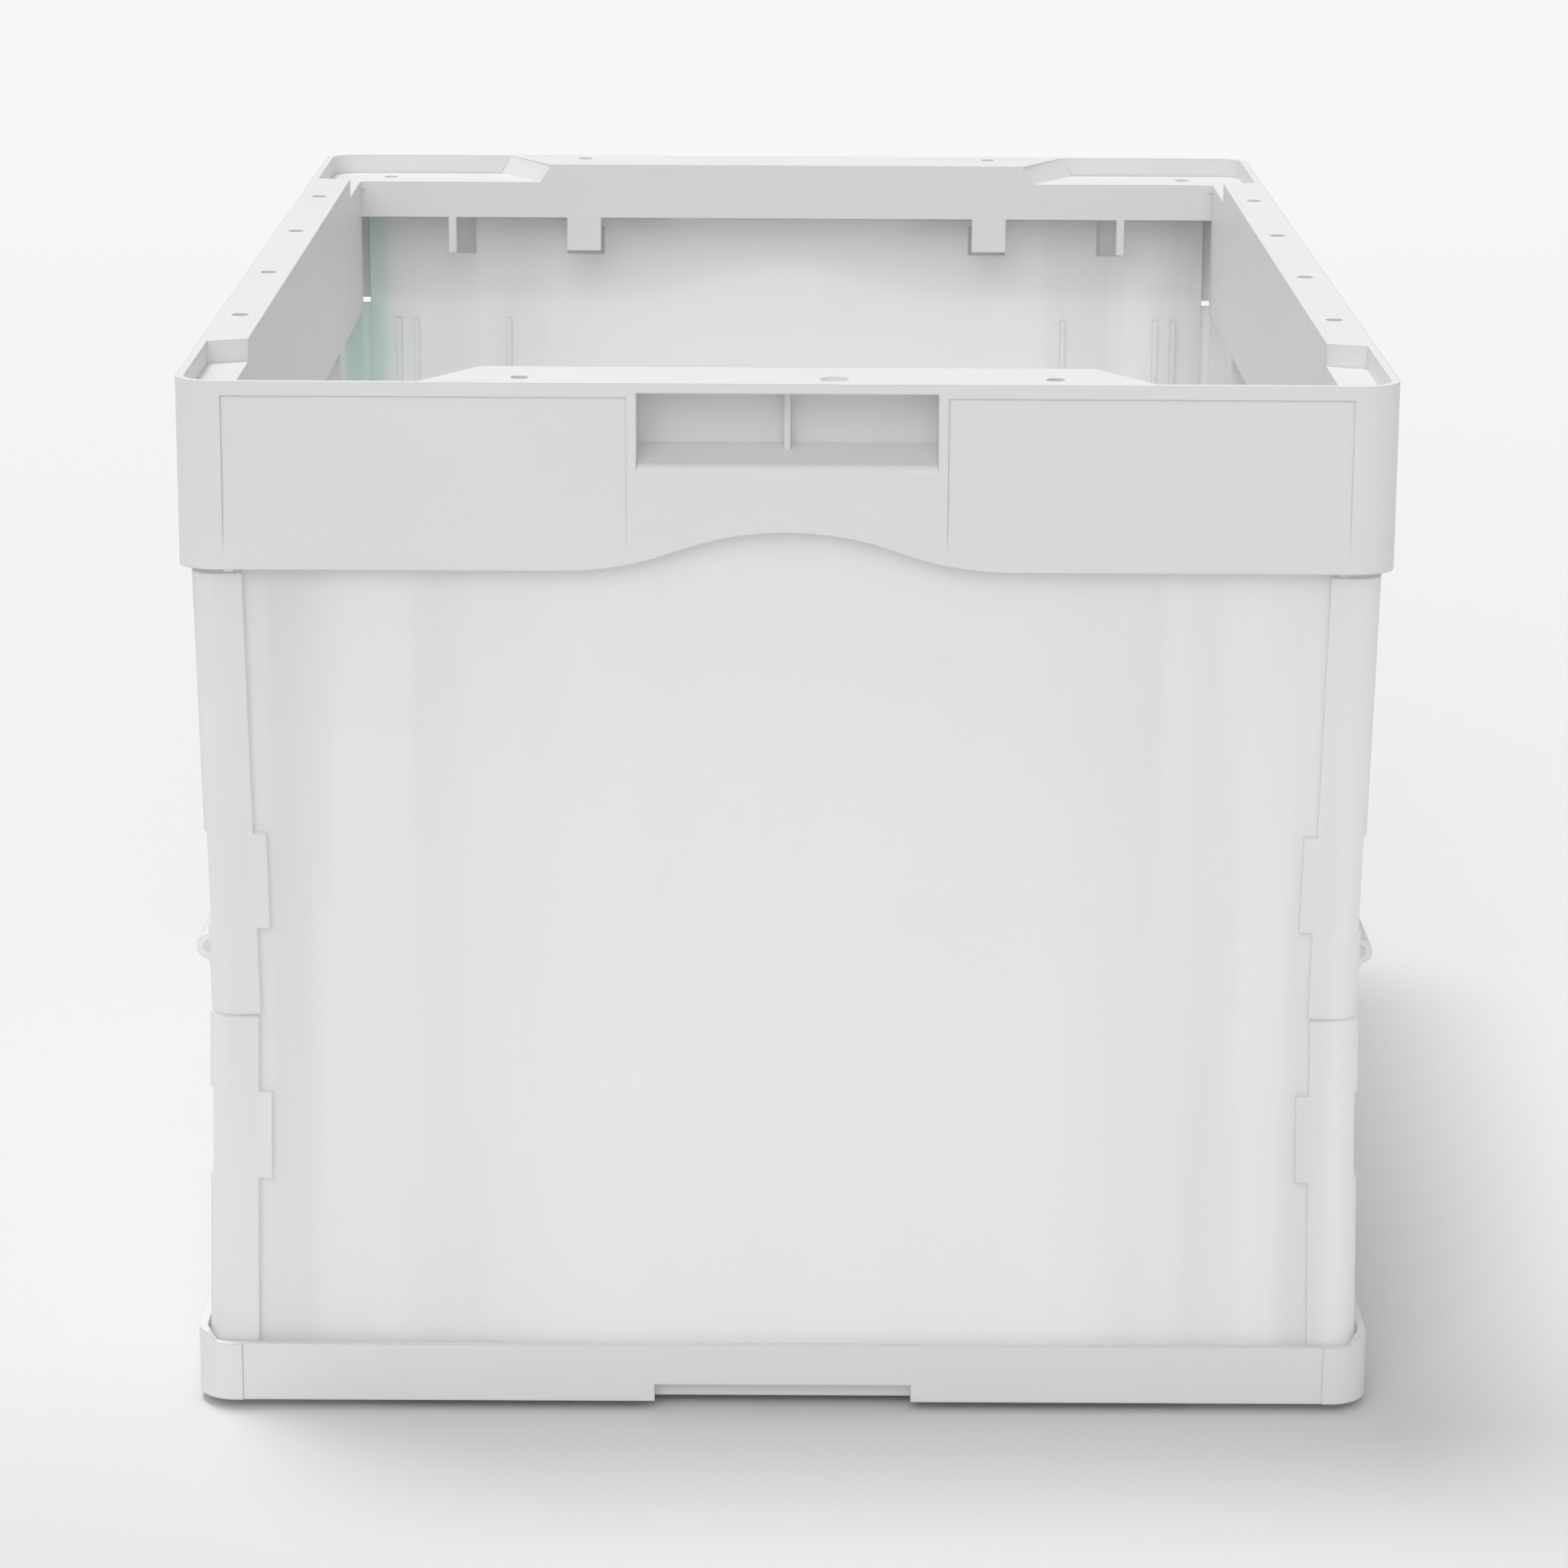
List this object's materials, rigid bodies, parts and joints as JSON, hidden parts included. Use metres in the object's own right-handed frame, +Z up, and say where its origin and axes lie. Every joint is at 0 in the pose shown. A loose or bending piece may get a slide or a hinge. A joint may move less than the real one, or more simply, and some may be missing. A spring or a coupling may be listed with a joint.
{
  "type": "folding stacking crate",
  "caption": "Stacking storage crate with an opaque rim frame and base, translucent walls that fold flat, end walls hinged on the frame and hand pockets.",
  "frame": {"origin": "centre of the footprint, on the surface the crate stands on", "axes": "+X to the right seen from the front short end, +Y along the length away from that end, +Z up"},
  "size_m": [0.366, 0.53, 0.325],
  "materials": {
    "opaque_white": "fine satin moulded polypropylene",
    "milky_clear": "milky translucent polypropylene, satin",
    "pin_white": "smooth acetal"
  },
  "bodies": {
    "crate_body": {"base_tray": "opaque_white", "top_frame": "opaque_white", "left_upper_side_panel": "milky_clear", "left_lower_side_panel": "milky_clear", "right_upper_side_panel": "milky_clear", "right_lower_side_panel": "milky_clear", "left_top_hinge_pins": "pin_white", "left_mid_hinge_pins": "pin_white", "left_bottom_hinge_pins": "pin_white", "right_top_hinge_pins": "pin_white", "right_mid_hinge_pins": "pin_white", "right_bottom_hinge_pins": "pin_white"},
    "front_end": {"front_end_panel": "milky_clear", "front_end_hinge_pins": "pin_white"},
    "rear_end": {"rear_end_panel": "milky_clear", "rear_end_hinge_pins": "pin_white"}
  },
  "joints": [
    {"name": "front_end_swing", "type": "hinge", "parent": "crate_body", "child": "front_end", "pos_m": [0, -0.241, 0.286], "axis": [1, 0, 0], "range_deg": [0, 90]},
    {"name": "rear_end_swing", "type": "hinge", "parent": "crate_body", "child": "rear_end", "pos_m": [0, 0.241, 0.297], "axis": [-1, 0, 0], "range_deg": [0, 90]}
  ]
}
